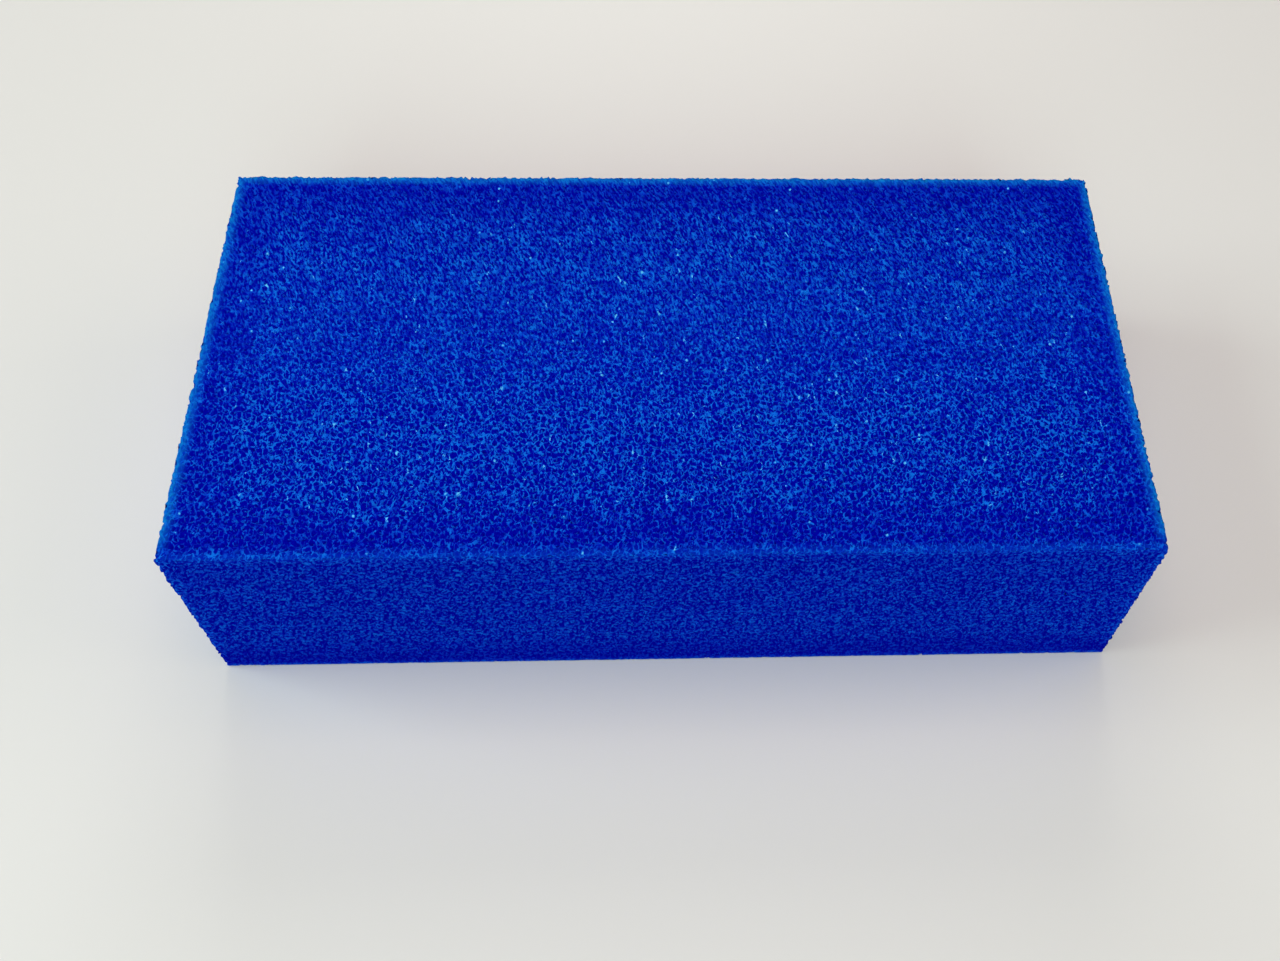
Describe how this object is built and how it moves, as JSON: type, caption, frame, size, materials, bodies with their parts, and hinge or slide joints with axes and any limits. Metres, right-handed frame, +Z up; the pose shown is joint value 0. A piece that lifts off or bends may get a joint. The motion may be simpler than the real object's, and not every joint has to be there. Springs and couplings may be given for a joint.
{
  "type": "foam block",
  "caption": "Rectangular block of open-cell reticulated foam with square-cut faces and softly worn rims, for filtering, cushioning or scrubbing.",
  "frame": {"origin": "middle of the underside, on the surface that the block lies on", "axes": "+X along the longest side, +Y across the width, +Z up through the thickness"},
  "size_m": [0.2, 0.1, 0.05],
  "materials": {
    "foam": "matte open-cell polyurethane foam, royal blue strands round darker pores"
  },
  "bodies": {
    "root": {"foam_block": "foam"}
  },
  "joints": []
}
